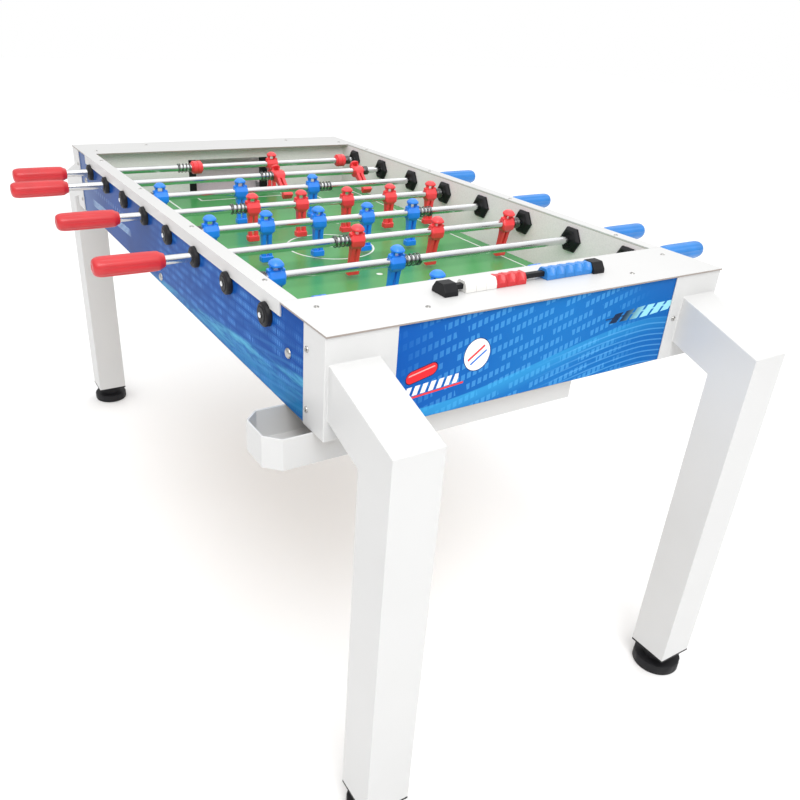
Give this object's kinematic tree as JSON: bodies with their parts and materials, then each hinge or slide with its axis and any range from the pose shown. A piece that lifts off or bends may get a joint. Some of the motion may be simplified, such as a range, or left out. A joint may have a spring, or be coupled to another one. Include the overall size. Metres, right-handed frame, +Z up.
{
  "type": "table football table",
  "caption": "Table football table with telescopic player rods, levelling feet, sliding score counters and a ball return that ends in an outside tray.",
  "frame": {"origin": "on the floor, under the middle of the playing field", "axes": "+Z up; +X along the table towards the end with the ball tray and the score counters; +Y along the rods towards the side with the blue team's handles"},
  "size_m": [1.753, 1.164, 0.818],
  "materials": {
    "panel_print": "gloss printed film on board",
    "field_green": "gloss printed laminate",
    "board_raw": "plain board",
    "laminate_grey": "satin laminate",
    "white_steel": "satin powder coat",
    "chute_grey": "matte",
    "black_plastic": "satin",
    "steel_tube": "polished",
    "screw_steel": "zinc plated",
    "red_plastic": "gloss",
    "blue_plastic": "gloss",
    "white_plastic": "gloss"
  },
  "bodies": {
    "cabinet": {"playfield": "field_green", "field_bearers": "board_raw", "side_panel_red": "panel_print", "side_panel_blue": "panel_print", "end_panel_near": "panel_print", "end_panel_far": "panel_print", "goal_walls": "laminate_grey", "goal_posts": "black_plastic", "side_rails": "white_steel", "end_tops": "white_steel", "leg_1": "white_steel", "leg_2": "white_steel", "leg_3": "white_steel", "leg_4": "white_steel", "leg_plugs": "black_plastic", "guide_bushes": "black_plastic", "hex_nuts": "black_plastic", "ball_tray": "white_steel", "return_chute": "chute_grey", "scorer_frame": "black_plastic", "screws": "screw_steel"},
    "foot_1": {"foot_1": "black_plastic"},
    "foot_2": {"foot_2": "black_plastic"},
    "foot_3": {"foot_3": "black_plastic"},
    "foot_4": {"foot_4": "black_plastic"},
    "counters_white": {"counters_white": "white_plastic"},
    "counters_red": {"counters_red": "red_plastic"},
    "counters_blue": {"counters_blue": "blue_plastic"},
    "inner_1": {"inner_rod_1": "steel_tube"},
    "rod_1": {"tube_1": "steel_tube", "men_1": "red_plastic", "handle_1": "red_plastic"},
    "inner_2": {"inner_rod_2": "steel_tube"},
    "rod_2": {"tube_2": "steel_tube", "men_2": "red_plastic", "handle_2": "red_plastic"},
    "inner_3": {"inner_rod_3": "steel_tube"},
    "rod_3": {"tube_3": "steel_tube", "men_3": "blue_plastic", "handle_3": "blue_plastic"},
    "inner_4": {"inner_rod_4": "steel_tube"},
    "rod_4": {"tube_4": "steel_tube", "men_4": "red_plastic", "handle_4": "red_plastic"},
    "inner_5": {"inner_rod_5": "steel_tube"},
    "rod_5": {"tube_5": "steel_tube", "men_5": "blue_plastic", "handle_5": "blue_plastic"},
    "inner_6": {"inner_rod_6": "steel_tube"},
    "rod_6": {"tube_6": "steel_tube", "men_6": "red_plastic", "handle_6": "red_plastic"},
    "inner_7": {"inner_rod_7": "steel_tube"},
    "rod_7": {"tube_7": "steel_tube", "men_7": "blue_plastic", "handle_7": "blue_plastic"},
    "inner_8": {"inner_rod_8": "steel_tube"},
    "rod_8": {"tube_8": "steel_tube", "men_8": "blue_plastic", "handle_8": "blue_plastic"}
  },
  "joints": [
    {"name": "foot_1_height", "type": "slide", "parent": "cabinet", "child": "foot_1", "axis": [0, 0, -1], "range_m": [0, 0.02]},
    {"name": "foot_2_height", "type": "slide", "parent": "cabinet", "child": "foot_2", "axis": [0, 0, -1], "range_m": [0, 0.02]},
    {"name": "foot_3_height", "type": "slide", "parent": "cabinet", "child": "foot_3", "axis": [0, 0, -1], "range_m": [0, 0.02]},
    {"name": "foot_4_height", "type": "slide", "parent": "cabinet", "child": "foot_4", "axis": [0, 0, -1], "range_m": [0, 0.02]},
    {"name": "counters_white_slide", "type": "slide", "parent": "cabinet", "child": "counters_white", "axis": [0, 1, 0], "range_m": [-0.017, 0]},
    {"name": "counters_red_slide", "type": "slide", "parent": "cabinet", "child": "counters_red", "axis": [0, 1, 0], "range_m": [0, 0.02]},
    {"name": "counters_blue_slide", "type": "slide", "parent": "cabinet", "child": "counters_blue", "axis": [0, 1, 0], "range_m": [-0.02, 0]},
    {"name": "rod_1_spin", "type": "hinge", "parent": "cabinet", "child": "inner_1", "pos_m": [-0.525, 0, 0.765], "axis": [0, 1, 0], "range_deg": [-225, 107]},
    {"name": "rod_1_slide", "type": "slide", "parent": "inner_1", "child": "rod_1", "axis": [0, 1, 0], "range_m": [-0.1986, 0.0105]},
    {"name": "rod_2_spin", "type": "hinge", "parent": "cabinet", "child": "inner_2", "pos_m": [-0.375, 0, 0.765], "axis": [0, 1, 0], "continuous": true},
    {"name": "rod_2_slide", "type": "slide", "parent": "inner_2", "child": "rod_2", "axis": [0, 1, 0], "range_m": [-0.3638, 0.0382]},
    {"name": "rod_3_spin", "type": "hinge", "parent": "cabinet", "child": "inner_3", "pos_m": [-0.225, 0, 0.765], "axis": [0, 1, 0], "continuous": true},
    {"name": "rod_3_slide", "type": "slide", "parent": "inner_3", "child": "rod_3", "axis": [0, 1, 0], "range_m": [-0.0104, 0.2506]},
    {"name": "rod_4_spin", "type": "hinge", "parent": "cabinet", "child": "inner_4", "pos_m": [-0.075, 0, 0.765], "axis": [0, 1, 0], "continuous": true},
    {"name": "rod_4_slide", "type": "slide", "parent": "inner_4", "child": "rod_4", "axis": [0, 1, 0], "range_m": [-0.1648, 0.0042]},
    {"name": "rod_5_spin", "type": "hinge", "parent": "cabinet", "child": "inner_5", "pos_m": [0.075, 0, 0.765], "axis": [0, 1, 0], "continuous": true},
    {"name": "rod_5_slide", "type": "slide", "parent": "inner_5", "child": "rod_5", "axis": [0, 1, 0], "range_m": [-0.0135, 0.1555]},
    {"name": "rod_6_spin", "type": "hinge", "parent": "cabinet", "child": "inner_6", "pos_m": [0.225, 0, 0.765], "axis": [0, 1, 0], "continuous": true},
    {"name": "rod_6_slide", "type": "slide", "parent": "inner_6", "child": "rod_6", "axis": [0, 1, 0], "range_m": [-0.2532, 0.0078]},
    {"name": "rod_7_spin", "type": "hinge", "parent": "cabinet", "child": "inner_7", "pos_m": [0.375, 0, 0.765], "axis": [0, 1, 0], "continuous": true},
    {"name": "rod_7_slide", "type": "slide", "parent": "inner_7", "child": "rod_7", "axis": [0, 1, 0], "range_m": [-0.0141, 0.3879]},
    {"name": "rod_8_spin", "type": "hinge", "parent": "cabinet", "child": "inner_8", "pos_m": [0.525, 0, 0.765], "axis": [0, 1, 0], "range_deg": [-107, 225]},
    {"name": "rod_8_slide", "type": "slide", "parent": "inner_8", "child": "rod_8", "axis": [0, 1, 0], "range_m": [-0.0188, 0.1902]}
  ]
}
